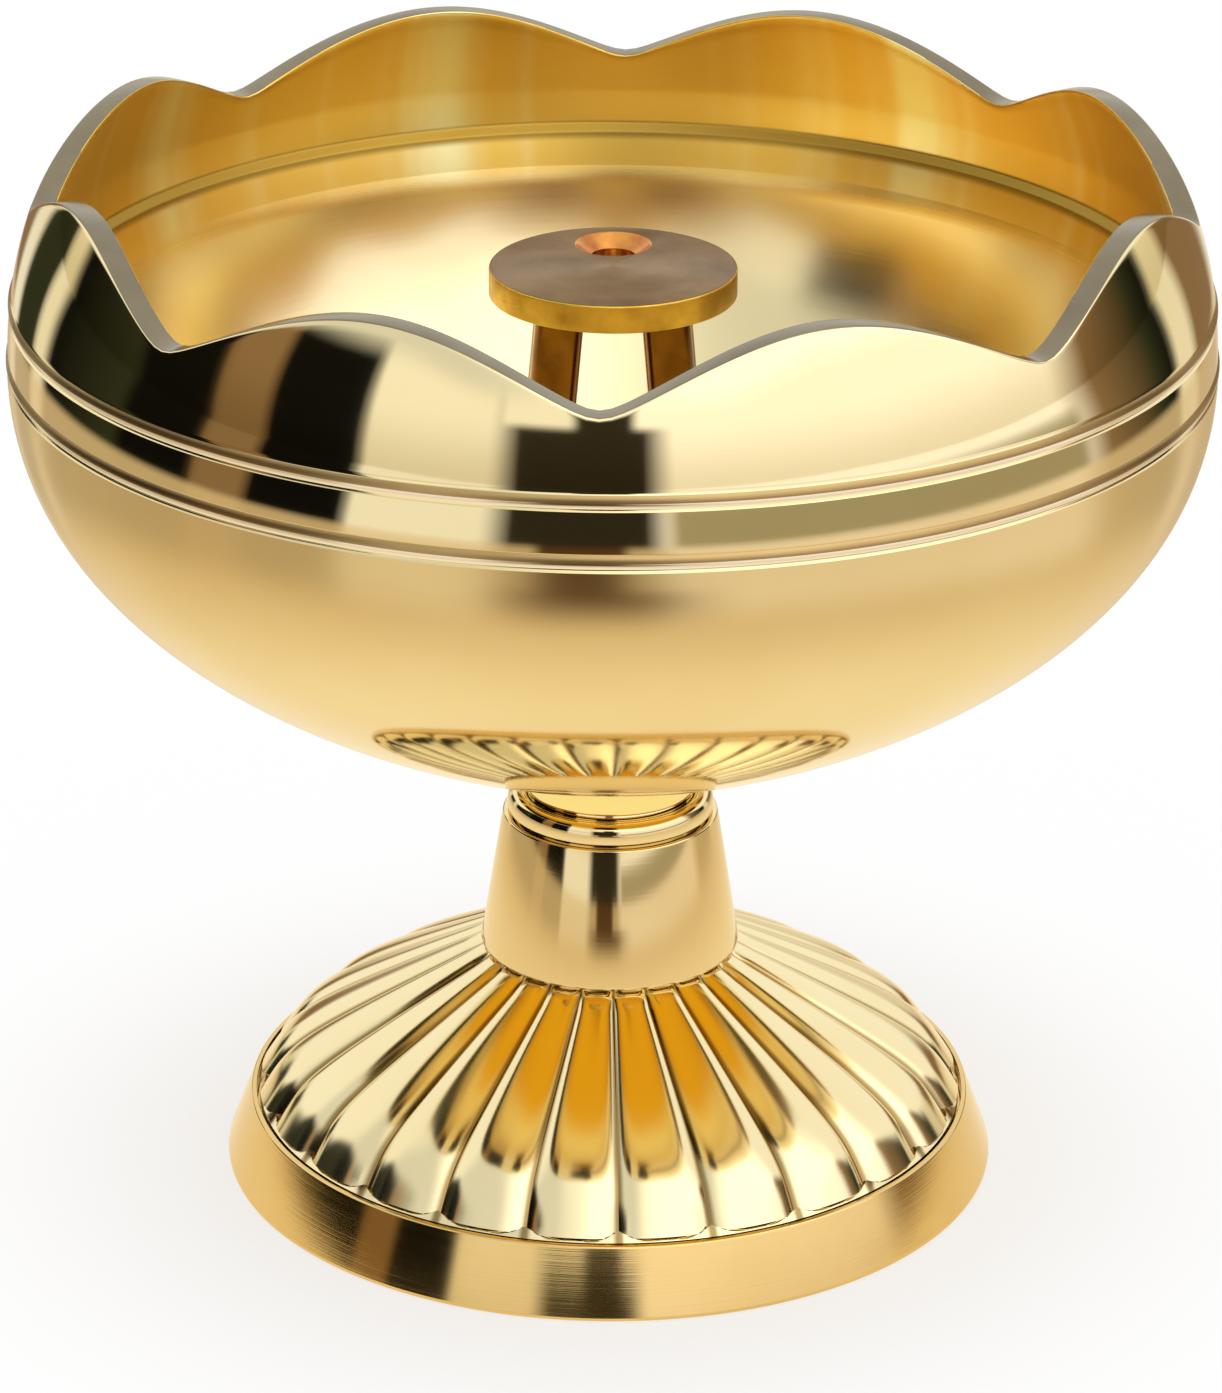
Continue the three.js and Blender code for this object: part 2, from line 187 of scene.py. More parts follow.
def make_tool_marks():
    """Rings that a cutting tool or an abrasive leaves on turned metal, as a height from 0 to 1."""
    group, given, result = group_of(
        "tool_marks", [("Per Metre", 4000), ("Drift", 60)], ["Height", "Coarse"]
    )
    place = group.nodes.new("ShaderNodeTexCoord")
    parts = group.nodes.new("ShaderNodeSeparateXYZ")
    group.links.new(place.outputs["Object"], parts.inputs[0])
    x, y, z = parts.outputs
    radius = math_node(
        group, "SQRT", math_node(group, "MULTIPLY_ADD", x, x, math_node(group, "MULTIPLY", y, y))
    )
    density = given.outputs["Per Metre"]
    vector = group.nodes.new("ShaderNodeCombineXYZ")
    drift = given.outputs["Drift"]
    group.links.new(
        math_node(
            group, "MULTIPLY_ADD", radius, density, math_node(group, "MULTIPLY", x, drift)
        ),
        vector.inputs[0],
    )
    group.links.new(
        math_node(group, "MULTIPLY_ADD", z, density, math_node(group, "MULTIPLY", y, drift)),
        vector.inputs[1],
    )
    group.links.new(math_node(group, "MULTIPLY", y, drift), vector.inputs[2])
    for label, share in (("Height", 1.0), ("Coarse", 0.2)):
        scaled = group.nodes.new("ShaderNodeVectorMath")
        scaled.operation = "SCALE"
        scaled.inputs["Scale"].default_value = share
        group.links.new(vector.outputs[0], scaled.inputs[0])
        noise = group.nodes.new("ShaderNodeTexNoise")
        noise.inputs["Scale"].default_value = 1.0
        noise.inputs["Detail"].default_value = 2.0
        group.links.new(scaled.outputs[0], noise.inputs["Vector"])
        group.links.new(noise.outputs[0], result.inputs[label])
    return group


tool_marks = make_tool_marks()


def make_tarnish():
    """Soft clouds of tarnish and handling haze on bare brass, as two masks from 0 to 1."""
    group, given, result = group_of(
        "tarnish", [("Per Metre", 60), ("Amount", 0.5)], ["Cloud", "Speck"]
    )
    place = group.nodes.new("ShaderNodeTexCoord")
    for label, share, detail in (("Cloud", 1.0, 4.0), ("Speck", 22.0, 2.0)):
        scaled = group.nodes.new("ShaderNodeVectorMath")
        scaled.operation = "SCALE"
        group.links.new(place.outputs["Object"], scaled.inputs[0])
        group.links.new(
            math_node(group, "MULTIPLY", given.outputs["Per Metre"], share), scaled.inputs["Scale"]
        )
        noise = group.nodes.new("ShaderNodeTexNoise")
        noise.inputs["Scale"].default_value = 1.0
        noise.inputs["Detail"].default_value = detail
        group.links.new(scaled.outputs[0], noise.inputs["Vector"])
        spread = group.nodes.new("ShaderNodeMapRange")
        spread.inputs["From Min"].default_value = 0.35
        spread.inputs["From Max"].default_value = 0.7
        group.links.new(noise.outputs[0], spread.inputs["Value"])
        group.links.new(
            math_node(group, "MULTIPLY", spread.outputs[0], given.outputs["Amount"]),
            result.inputs[label],
        )
    return group


tarnish = make_tarnish()


def metal(name, clean, stained, rough, rough_spread, marks, marks_height, cloud, cloud_amount):
    """A bare metal finish: a clean and a stained colour, roughness and its spread, tool marks
    as (per metre, drift) with their height in mm, and clouds of stain as (per metre, amount)."""
    material = bpy.data.materials.new(name)
    material.use_nodes = True
    tree = material.node_tree
    shader = tree.nodes["Principled BSDF"]
    shader.inputs["Metallic"].default_value = 1.0
    stain = tree.nodes.new("ShaderNodeGroup")
    stain.node_tree = tarnish
    stain.inputs["Per Metre"].default_value = cloud
    stain.inputs["Amount"].default_value = cloud_amount
    rings = tree.nodes.new("ShaderNodeGroup")
    rings.node_tree = tool_marks
    rings.inputs["Per Metre"].default_value = marks[0]
    rings.inputs["Drift"].default_value = marks[1]
    colour = tree.nodes.new("ShaderNodeMix")
    colour.data_type = "RGBA"
    colour.inputs[6].default_value = (*clean, 1)
    colour.inputs[7].default_value = (*stained, 1)
    tree.links.new(stain.outputs["Cloud"], colour.inputs["Factor"])
    tree.links.new(colour.outputs[2], shader.inputs["Base Color"])
    worn = math_node(tree, "MULTIPLY_ADD", stain.outputs["Cloud"], rough_spread, rough)
    tree.links.new(
        math_node(tree, "MULTIPLY_ADD", rings.outputs["Coarse"], rough_spread * 0.6, worn),
        shader.inputs["Roughness"],
    )
    bump = tree.nodes.new("ShaderNodeBump")
    bump.inputs["Strength"].default_value = 1.0
    bump.inputs["Distance"].default_value = marks_height * MM
    tree.links.new(rings.outputs["Height"], bump.inputs["Height"])
    tree.links.new(bump.outputs[0], shader.inputs["Normal"])
    return material


def height_share(material, low, high):
    """A number that goes from 0 to 1 between two heights in millimetres."""
    tree = material.node_tree
    place = tree.nodes.new("ShaderNodeTexCoord")
    parts = tree.nodes.new("ShaderNodeSeparateXYZ")
    tree.links.new(place.outputs["Object"], parts.inputs[0])
    share = tree.nodes.new("ShaderNodeMapRange")
    share.interpolation_type = "SMOOTHSTEP"
    share.inputs["From Min"].default_value = low * MM
    share.inputs["From Max"].default_value = high * MM
    tree.links.new(parts.outputs["Z"], share.inputs["Value"])
    return share.outputs[0]


def angle_from_front(material):
    """The angle of a place about the upright axis in radians, counted from the front."""
    tree = material.node_tree
    place = tree.nodes.new("ShaderNodeTexCoord")
    parts = tree.nodes.new("ShaderNodeSeparateXYZ")
    tree.links.new(place.outputs["Object"], parts.inputs[0])
    backwards = math_node(tree, "MULTIPLY", parts.outputs["Y"], -1)
    return math_node(tree, "ARCTAN2", parts.outputs["X"], backwards)


def tint(material, share, other):
    """Mixes another colour into a metal's own where the share is 1."""
    tree = material.node_tree
    socket = tree.nodes["Principled BSDF"].inputs["Base Color"]
    own = socket.links[0].from_socket
    tree.links.new(mix_colour(tree, share, own, (*other, 1)), socket)


def roughen(material, share, amount):
    """Adds to a metal's roughness where the share is 1."""
    tree = material.node_tree
    socket = tree.nodes["Principled BSDF"].inputs["Roughness"]
    own = socket.links[0].from_socket
    tree.links.new(math_node(tree, "MULTIPLY_ADD", share, amount, own), socket)


def brush_round(material, amount):
    """Smears what a turned face mirrors across its tool marks, as fine rings do."""
    tree = material.node_tree
    shader = tree.nodes["Principled BSDF"]
    shader.inputs["Anisotropic"].default_value = amount
    shader.inputs["Anisotropic Rotation"].default_value = 0.25
    around = tree.nodes.new("ShaderNodeTangent")
    around.direction_type = "RADIAL"
    around.axis = "Z"
    tree.links.new(around.outputs[0], shader.inputs["Tangent"])


foot_radius, foot_top_radius, foot_height = 39.6, 36.95, 7.0
foot_bore, seat_radius, seat_height = 33.1, 36.45, 5.0
foot_ring = turned(
    "brushed_foot",
    rounded(
        [
            (foot_bore, 0.0, 0.3),
            (foot_radius, 0.0, 0.35),
            (foot_top_radius, foot_height, 0.55),
            (seat_radius, foot_height, 0.1),
            (seat_radius, seat_height, 0.1),
            (foot_bore, seat_height, 0.2),
            (foot_bore, 0.15),
        ],
        8,
    )
    + [(foot_bore, 0.12)],
    256,
)
brushed_brass = metal(
    "brushed_brass",
    (0.78, 0.56, 0.23),
    (0.70, 0.47, 0.17),
    rough=0.09,
    rough_spread=0.06,
    marks=(9000, 40),
    marks_height=0.006,
    cloud=70,
    cloud_amount=0.5,
)
brush_round(brushed_brass, 0.7)
foot_ring.data.materials.append(brushed_brass)
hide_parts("foot_ring")
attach(foot_ring, "pedestal")


# Fluted dome: a thin shell cast in brass and buffed to a mirror, with 24 round-backed flutes
# that run from the stem down to an upright end at the foot ring. Its rim sits in the ring's
# rebate, and a bolt hole goes through its flat top.
dome_base, dome_height, dome_radius = 5.3, 17.7, 36.15
rim_top, dome_top = dome_base + 1.75, dome_base + dome_height
dome_roof, bolt_hole = dome_base + 15.9, 4.3
stem_bottom_radius = 13.2
flutes, flute_columns = 24, 20
flute_depth, flute_top_depth, flute_flatness = 0.95, 0.5, 3
flute_turn = math.radians(9.2)
crest_end = (stem_bottom_radius, dome_top - 0.12)
crest = bend((dome_radius, dome_base + 2.1), (0.152, 0.347), crest_end, (0.89, 0.686), 34)
crest = [(dome_radius - 0.3, rim_top + 0.02), (dome_radius - 0.08, rim_top + 0.12)] + crest
flute_pitch = TURN / flutes
first_valley = flute_turn - flute_pitch / 2
under_dome = bend((10.8, dome_roof), (0.45, 0.38), (33.4, dome_base), (0.08, 0.55), 16)
dome_outline = (
    [(dome_radius, dome_base), (dome_radius, rim_top - 0.1), (dome_radius - 0.1, rim_top)]
    + crest
    + [(12.6, dome_top), (bolt_hole, dome_top), (bolt_hole, dome_roof)]
    + under_dome
    + [(dome_radius, dome_base)]
)
dome = start_outline("fluted_dome_shell", dome_outline, first_valley)
sweep(flute_columns, flute_pitch)


def angle_of(co):
    """The angle of a point about the upright axis, counted from the front towards +X."""
    return math.atan2(co.x, -co.y)


def move_points(piece, shifts):
    """Moves single points of the piece in edit mode, each by its own step."""
    mesh = bmesh.from_edit_mesh(piece.data)
    mesh.verts.ensure_lookup_table()
    bpy.ops.mesh.select_all(action="DESELECT")
    last = None
    for index, step in shifts:
        if last is not None:
            mesh.verts[last].select_set(False)
        mesh.verts[index].select_set(True)
        last = index
        mesh.select_flush_mode()
        bpy.ops.transform.translate(value=step)


crest_lines = []
for i, point in enumerate(crest):
    before, after = crest[max(i - 1, 0)], crest[min(i + 1, len(crest) - 1)]
    length = math.hypot(after[0] - before[0], after[1] - before[1])
    inward = (-(after[1] - before[1]) / length, (after[0] - before[0]) / length)
    share = (dome_radius - point[0]) / (dome_radius - stem_bottom_radius)
    depth = flute_depth + (flute_top_depth - flute_depth) * share
    crest_lines.append((point, inward, depth))
shifts = []
for vertex in bmesh.from_edit_mesh(dome.data).verts:
    radius, height = math.hypot(vertex.co.x, vertex.co.y) / MM, vertex.co.z / MM
    for point, inward, depth in crest_lines:
        if abs(radius - point[0]) < 0.01 and abs(height - point[1]) < 0.01:
            azimuth = angle_of(vertex.co)
            lobes = (azimuth - flute_turn) / flute_pitch
            drop = depth * abs(2 * (lobes - round(lobes))) ** flute_flatness
            if drop > 0.001:
                side = spot(inward[0] * drop, 0, azimuth)
                shifts.append((vertex.index, side + Vector((0, 0, inward[1] * drop * MM))))
            break
move_points(dome, shifts)
bpy.ops.mesh.select_all(action="SELECT")
bpy.ops.mesh.spin(
    steps=flutes - 1,
    angle=TURN - flute_pitch,
    dupli=True,
    center=(0, 0, 0),
    axis=(0, 0, 1),
)
close_skin(dome, 32)
dome_brass = metal(
    "dome_brass",
    (0.91, 0.78, 0.48),
    (0.87, 0.71, 0.39),
    rough=0.11,
    rough_spread=0.04,
    marks=(2500, 30),
    marks_height=0.0004,
    cloud=70,
    cloud_amount=0.45,
)
tree = dome_brass.node_tree
lobe = math_node(
    tree,
    "MULTIPLY_ADD",
    angle_from_front(dome_brass),
    1 / flute_pitch,
    -flute_turn / flute_pitch,
)
from_crest = math_node(tree, "SUBTRACT", lobe, math_node(tree, "ROUND", lobe))
beside = math_node(tree, "ABSOLUTE", from_crest)
valley = tree.nodes.new("ShaderNodeMapRange")
valley.interpolation_type = "SMOOTHSTEP"
valley.inputs["From Min"].default_value = 0.42
valley.inputs["From Max"].default_value = 0.485
tree.links.new(beside, valley.inputs["Value"])
tint(dome_brass, math_node(tree, "MULTIPLY", valley.outputs[0], 0.85), (0.24, 0.14, 0.03))
dome.data.materials.append(dome_brass)
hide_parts("fluted_dome")
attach(dome, "pedestal")


# Stem: a tapered cup turned from brass bar and polished. It stands on the dome's flat top and
# the tie stud pulls it down by its bored cap.
stem_base, stem_height, stem_top_radius = 23.3, 14.5, 10.9
stem_top, cap_underside = stem_base + stem_height, stem_base + 10.5
bore_bottom, bore_top = 10.2, 7.9

# Each end reaches this far into the hairline seam between it and the next piece.
seam = 0.25
stem = turned(
    "tapered_stem",
    rounded(
        [
            (bore_bottom, stem_base - seam),
            (12.3, stem_base - seam),
            (12.4, stem_base),
            (stem_bottom_radius, stem_base, 0.3),
            (stem_top_radius, stem_top, 0.3),
            (bolt_hole, stem_top, 0.1),
            (bolt_hole, cap_underside, 0.1),
            (bore_top, cap_underside, 0.1),
            (bore_top, cap_underside - 0.1),
            (bore_bottom, stem_base + 0.1),
        ],
        5,
    ),
    192,
)
stem_brass = metal(
    "stem_brass",
    (0.88, 0.72, 0.40),
    (0.82, 0.63, 0.30),
    rough=0.07,
    rough_spread=0.03,
    marks=(3500, 30),
    marks_height=0.001,
    cloud=80,
    cloud_amount=0.5,
)
stem.data.materials.append(stem_brass)
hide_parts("stem")
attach(stem, "pedestal")


# Neck collar: a thin ring turned from brass, with a rounded shoulder, polished and clamped
# between the stem and the bowl.
collar_base, collar_height, collar_radius = 38.1, 2.2, 10.45
collar_top = collar_base + collar_height
collar = turned(
    "shouldered_collar",
    [(bolt_hole, collar_base - seam), (9.9, collar_base - seam), (10.0, collar_base)]
    + rounded(
        [(10.0, collar_base), (collar_radius, collar_base, 0.12), (collar_radius, 41.0)], 4
    )[1:-1]
    + bend(
        (collar_radius, collar_base + 0.6),
        (0.0, 0.8),
        (9.3, collar_top),
        (0.5, 0.0),
        14,
    )
    + [
        (8.5, collar_top),
        (8.4, collar_top + seam),
        (bolt_hole, collar_top + seam),
        (bolt_hole, collar_base - seam),
    ],
    192,
)
mirror_brass = metal(
    "mirror_brass",
    (0.90, 0.76, 0.45),
    (0.86, 0.70, 0.37),
    rough=0.03,
    rough_spread=0.04,
    marks=(2500, 30),
    marks_height=0.0004,
    cloud=55,
    cloud_amount=0.45,
)
collar.data.materials.append(mirror_brass)
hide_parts("neck_collar")
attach(collar, "pedestal")


# Tie stud, washer and nut: zinc-plated steel, out of sight inside the pedestal. The washer and
# nut pull on the stud, which is screwed into the bowl. Such parts are plain, so their solids
# stay as they are, with a plated finish.
zinc = metal(
    "zinc_plate",
    (0.66, 0.66, 0.67),
    (0.50, 0.51, 0.54),
    rough=0.28,
    rough_spread=0.15,
    marks=(1600, 200),
    marks_height=0.006,
    cloud=160,
    cloud_amount=0.7,
)
for node in ("tie_stud", "base_washer", "base_nut"):
    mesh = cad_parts[node].data
    mesh.materials.clear()
    mesh.materials.append(zinc)


# Lotus bowl: one thick brass casting, turned inside and out, with a satin underside, a polished
# band between two beads, a polished wall that leans in, and a rim cut into eight petals.
bowl_base = 40.6
band_radius, wall_bend = 59.3, 40
lower_bead, upper_bead = bowl_base + 47.15, bowl_base + 52.75
petal_root, notch = bowl_base + 55.6, bowl_base + 60.1
petals, petal_columns, petal_rise, valley_softness = 8, 40, 6.4, 0.12
bowl_turn = math.radians(-1.2)
rim_thickness = 2.4
floor_top, floor_radius = bowl_base + 10.4, 17.22
dish_top, dish_radius = bowl_base + 47.0, 53.9
neck_radius, underside_radius, underside_base, cove_rounding = 9.0, 10.3, bowl_base + 3.5, 1.3
socket_top = bowl_base + 7.0


def wall_radius(height):
    """The wall's outer radius: an arc that leans in towards the rim."""
    return band_radius - wall_bend + math.sqrt(wall_bend**2 - (height - lower_bead) ** 2)


def petal_share(azimuth):
    """The rim's height above the valleys, from 0 in a valley to 1 on a petal's tip."""
    wave = abs(math.sin(petals * (azimuth - bowl_turn) / 2))
    softened = math.hypot(wave, valley_softness) - valley_softness
    return softened / (math.hypot(1, valley_softness) - valley_softness)


def bead(middle):
    """A low round bead, 1.44 high and 0.19 proud of the wall, with a fine groove on each side."""
    rounding, rise, half, groove_width, groove_depth = 1.16, 0.25, 0.72, 0.12, 0.06
    below, above = middle - half - groove_width, middle + half + groove_width
    points = [(wall_radius(below), below)]
    for i in range(13):
        angle = math.asin(half / rounding) * (i / 6 - 1)
        out = wall_radius(middle) + rise - rounding + rounding * math.cos(angle)
        points.append((out - groove_depth, middle + rounding * math.sin(angle)))
    return points + [(wall_radius(above), above)]


root_inner = wall_radius(petal_root) - rim_thickness
wall_rows = [
    (wall_radius(h), h)
    for h in [upper_bead + 1.1 + k * (notch - 0.45 - upper_bead - 1.1) / 14 for k in range(15)]
]
rim_edge = rounded(
    [
        wall_rows[-1],
        (wall_radius(notch), notch, 0.38),
        (wall_radius(notch) - rim_thickness, notch, 0.22),
        (wall_radius(notch) - rim_thickness - 0.05, notch - 0.6),
    ],
    6,
)[1:-1]
inside_wall = [
    (wall_radius(h) - rim_thickness, h)
    for h in [notch - 0.5 - k * (notch - 0.5 - petal_root) / 8 for k in range(9)]
]
inside_steps = rounded(
    [
        inside_wall[-1],
        (root_inner - 0.1, bowl_base + 52.3, 0.5),
        (root_inner - 0.9, bowl_base + 51.6, 0.5),
        (dish_radius + 0.35, dish_top + 1.1, 0.8),
        (dish_radius, dish_top),
    ],
    6,
)[1:-1]
dish = bend((dish_radius, dish_top), (0.06, 0.36), (floor_radius, floor_top), (0.65, 0.14), 44)
underside = bend(
    (underside_radius, underside_base), (0.4, 0.17), (59.4, lower_bead - 0.95), (0.0, 0.57), 56
)
cove_middle = underside_base - cove_rounding
cove = [
    (underside_radius + cove_rounding * math.cos(a), cove_middle + cove_rounding * math.sin(a))
    for a in [math.radians(180 - 90 * k / 8) for k in range(8)]
]
bowl_outline = (
    [(0.0, socket_top), (bolt_hole, socket_top), (bolt_hole, bowl_base)]
    + rounded(
        [(bolt_hole, bowl_base), (neck_radius, bowl_base, 0.3), (neck_radius, cove_middle)], 4
    )[1:-1]
    + cove
    + underside
    + bead(lower_bead)
    + [(wall_radius(lower_bead + 0.9 + k * 0.63), lower_bead + 0.9 + k * 0.63) for k in range(7)]
    + bead(upper_bead)
    + wall_rows
    + rim_edge
    + inside_wall
    + inside_steps
    + dish
    + [(floor_radius * k / 6, floor_top) for k in (5, 4, 3, 2, 1, 0)]
)
bowl = start_outline("lotus_bowl_casting", bowl_outline, bowl_turn)
sweep(petal_columns, TURN / petals)
shifts = []
for vertex in bmesh.from_edit_mesh(bowl.data).verts:
    height = vertex.co.z / MM
    if height <= petal_root + 0.001:
        continue
    azimuth = angle_of(vertex.co)
    lift = (height - petal_root) / (notch - petal_root) * petal_rise * petal_share(azimuth)
    if lift > 0.001:
        draw_in = wall_radius(height + lift) - wall_radius(height)
        shifts.append((vertex.index, spot(draw_in, lift, azimuth)))
move_points(bowl, shifts)
bpy.ops.mesh.select_all(action="SELECT")
bpy.ops.mesh.spin(
    steps=petals - 1,
    angle=TURN - TURN / petals,
    dupli=True,
    center=(0, 0, 0),
    axis=(0, 0, 1),
)
close_skin(bowl, 32)
satin_brass = metal(
    "satin_brass",
    (0.89, 0.74, 0.42),
    (0.84, 0.66, 0.33),
    rough=0.05,
    rough_spread=0.04,
    marks=(5200, 25),
    marks_height=0.0008,
    cloud=45,
    cloud_amount=0.55,
)
roughen(satin_brass, height_share(satin_brass, 62, 84), 0.12)
# Painted reflection: the underside below 50 to 60 mm is painted a brighter gold than the brass's
# own, standing in for the gold that bowl and dome mirror into each other.
below = math_node(satin_brass.node_tree, "SUBTRACT", 1, height_share(satin_brass, 50, 60))
tint(satin_brass, below, (1.0, 0.86, 0.38))
# Painted reflection: an orange band painted on the underside between about 44 and 52 mm, out of
# sight from the front, so that the dome mirrors the deep orange of brass mirrored many times over.
painted_orange_band = math_node(
    satin_brass.node_tree,
    "SUBTRACT",
    height_share(satin_brass, 43.5, 44.5),
    height_share(satin_brass, 49, 52),
)
tint(satin_brass, painted_orange_band, (0.82, 0.46, 0.02))
inner_brass = metal(
    "inner_brass",
    (0.92, 0.78, 0.47),
    (0.87, 0.70, 0.36),
    rough=0.17,
    rough_spread=0.06,
    marks=(2600, 25),
    marks_height=0.002,
    cloud=50,
    cloud_amount=0.5,
)
wall_share = height_share(inner_brass, dish_top - 2.5, dish_top + 2)
# Painted reflection: the inner wall above the dish is painted a deeper orange gold than the
# brass's own, standing in for the gold that the bowl's inside mirrors back into itself.
tint(inner_brass, wall_share, (0.90, 0.60, 0.12))
tree = inner_brass.node_tree
# Painted highlights: bright streaks painted on the inner wall by the angle about the axis,
# standing in for glints of light inside the bowl.
across = tree.nodes.new("ShaderNodeCombineXYZ")
tree.links.new(angle_from_front(inner_brass), across.inputs[0])
painted_glint_noise = tree.nodes.new("ShaderNodeTexNoise")
painted_glint_noise.inputs["Scale"].default_value = 3.4
painted_glint_noise.inputs["Detail"].default_value = 3.0
tree.links.new(across.outputs[0], painted_glint_noise.inputs["Vector"])
painted_glint_streaks = tree.nodes.new("ShaderNodeMapRange")
painted_glint_streaks.interpolation_type = "SMOOTHSTEP"
painted_glint_streaks.inputs["From Min"].default_value = 0.48
painted_glint_streaks.inputs["From Max"].default_value = 0.66
tree.links.new(painted_glint_noise.outputs[0], painted_glint_streaks.inputs["Value"])
tint(inner_brass, math_node(tree, "MULTIPLY", wall_share, painted_glint_streaks.outputs[0]), (1.0, 0.92, 0.48))
# Painted shade: a dark band painted on the inner shelf a little above the dish.
painted_shelf_shade = math_node(
    tree,
    "SUBTRACT",
    height_share(inner_brass, dish_top + 3.6, dish_top + 4.4),
    height_share(inner_brass, dish_top + 5.3, dish_top + 5.7),
)
tint(inner_brass, painted_shelf_shade, (0.42, 0.27, 0.05))
roughen(inner_brass, wall_share, 0.06)
roughen(inner_brass, height_share(inner_brass, dish_top - 0.5, dish_top + 1.5), 0.1)
rim_brass = metal(
    "rim_brass",
    (0.27, 0.23, 0.16),
    (0.15, 0.12, 0.08),
    rough=0.14,
    rough_spread=0.1,
    marks=(1800, 250),
    marks_height=0.003,
    cloud=120,
    cloud_amount=0.5,
)
# Painted highlight: the lower half of each bead gets a near-white brass, painted as the bright
# line of light it shows.
bead_painted_highlight = metal(
    "bead_painted_highlight",
    (1.0, 0.96, 0.86),
    (0.98, 0.92, 0.78),
    rough=0.1,
    rough_spread=0.05,
    marks=(2500, 30),
    marks_height=0.0004,
    cloud=80,
    cloud_amount=0.4,
)
# Painted shade: the upper half of each bead gets a darker, rougher brass, the shaded copy of the
# bead's finish.
bead_top_painted_shade = metal(
    "bead_top_painted_shade",
    (0.54, 0.37, 0.16),
    (0.44, 0.28, 0.11),
    rough=0.3,
    rough_spread=0.1,
    marks=(3500, 30),
    marks_height=0.001,
    cloud=80,
    cloud_amount=0.5,
)
for material in (mirror_brass, satin_brass, inner_brass, rim_brass, bead_painted_highlight, bead_top_painted_shade):
    bowl.data.materials.append(material)


def paint(piece, index, wanted):
    """Gives the faces that a test picks, by centre and normal, one of the piece's finishes."""
    bpy.ops.object.mode_set(mode="EDIT")
    bpy.ops.mesh.select_mode(type="FACE")
    bpy.ops.mesh.select_all(action="DESELECT")
    mesh = bmesh.from_edit_mesh(piece.data)
    for face in mesh.faces:
        face.select_set(wanted(face.calc_center_median(), face.normal))
    bmesh.update_edit_mesh(piece.data)
    piece.active_material_index = index
    bpy.ops.object.material_slot_assign()
    bpy.ops.mesh.select_all(action="DESELECT")
    bpy.ops.object.mode_set(mode="OBJECT")


def outward(co, normal):
    """More than 0 where a face looks away from the upright axis."""
    return co.x * normal.x + co.y * normal.y


paint(bowl, 1, lambda co, n: outward(co, n) > 0 and co.z < (lower_bead - 0.8) * MM)
paint(bowl, 2, lambda co, n: outward(co, n) <= 0 and co.z > (bowl_base + 9) * MM)
paint(bowl, 3, lambda co, n: n.z > 0.75 and co.z > notch * MM - 0.0002)


def on_bead(co, low, high):
    """True on the outside of either bead, between two heights counted from its middle."""
    height, radius = co.z / MM, math.hypot(co.x, co.y) / MM
    return radius > band_radius - 1.5 and (
        low < height - lower_bead < high or low < height - upper_bead < high
    )


# Each bead's lower half takes the painted highlight and its upper half the painted shade.
paint(bowl, 4, lambda co, n: on_bead(co, -0.74, -0.02))
paint(bowl, 5, lambda co, n: on_bead(co, -0.02, 0.74))
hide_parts("lotus_bowl")
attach(bowl, "bowl")


# Wick plate: a thick disc turned from brass, its edge left rough and its top tarnished, with a
# countersunk wick hole behind its middle that is stained copper red by heat.
plate_radius, plate_bottom, plate_top = 12.2, 92.9, 95.7
hole_centre, hole_radius, mouth_radius, mouth_depth = 6.8, 2.2, 3.74, 1.2
plate = turned(
    "wick_disc",
    [(0.0, plate_bottom)]
    + rounded(
        [
            (0.0, plate_bottom),
            (plate_radius, plate_bottom, 0.15),
            (plate_radius, plate_top, 0.28),
            (0.0, plate_top),
        ],
        5,
    )[1:-1]
    + [(0.0, plate_top)],
    160,
)
drill = turned(
    "wick_drill",
    [
        (0.0, plate_bottom - 1),
        (hole_radius, plate_bottom - 1),
        (hole_radius, plate_top - mouth_depth),
        (mouth_radius - 0.12, plate_top - 0.1),
        (mouth_radius + 0.1, plate_top + 0.02),
        (mouth_radius + 0.1, plate_top + 1),
        (0.0, plate_top + 1),
    ],
    72,
)
bpy.ops.transform.translate(value=(0, hole_centre * MM, 0))
bpy.ops.object.transform_apply(location=True, rotation=True, scale=True)


def cut(piece, cutter):
    """Cuts a tool's shape out of the piece and takes the tool away."""
    bpy.ops.object.select_all(action="DESELECT")
    bpy.context.view_layer.objects.active = piece
    piece.select_set(True)
    trim = piece.modifiers.new("cut", "BOOLEAN")
    trim.operation = "DIFFERENCE"
    trim.solver = "EXACT"
    trim.object = cutter
    bpy.ops.object.modifier_apply(modifier=trim.name)
    bpy.data.objects.remove(cutter)


rough_brass = metal(
    "rough_turned_brass",
    (0.86, 0.58, 0.10),
    (0.52, 0.28, 0.03),
    rough=0.26,
    rough_spread=0.2,
    marks=(2600, 500),
    marks_height=0.03,
    cloud=260,
    cloud_amount=0.8,
)
tarnished_brass = metal(
    "tarnished_brass",
    (0.24, 0.13, 0.034),
    (0.13, 0.065, 0.018),
    rough=0.24,
    rough_spread=0.12,
    marks=(3600, 60),
    marks_height=0.004,
    cloud=150,
    cloud_amount=0.8,
)
brush_round(tarnished_brass, 0.75)
copper_stain = metal(
    "copper_stain",
    (0.80, 0.36, 0.08),
    (0.45, 0.14, 0.05),
    rough=0.16,
    rough_spread=0.15,
    marks=(3000, 100),
    marks_height=0.004,
    cloud=400,
    cloud_amount=0.9,
)
cut(plate, drill)
for material in (rough_brass, tarnished_brass, copper_stain):
    plate.data.materials.append(material)
bpy.ops.object.shade_smooth_by_angle(angle=math.radians(32))
paint(plate, 1, lambda co, n: n.z > 0.9)
paint(
    plate,
    2,
    lambda co, n: math.hypot(co.x, co.y - hole_centre * MM) < (mouth_radius + 0.05) * MM
    and n.z < 0.98
    and co.z > plate_bottom * MM + 0.0001,
)
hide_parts("wick_plate")
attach(plate, "wick_stand")
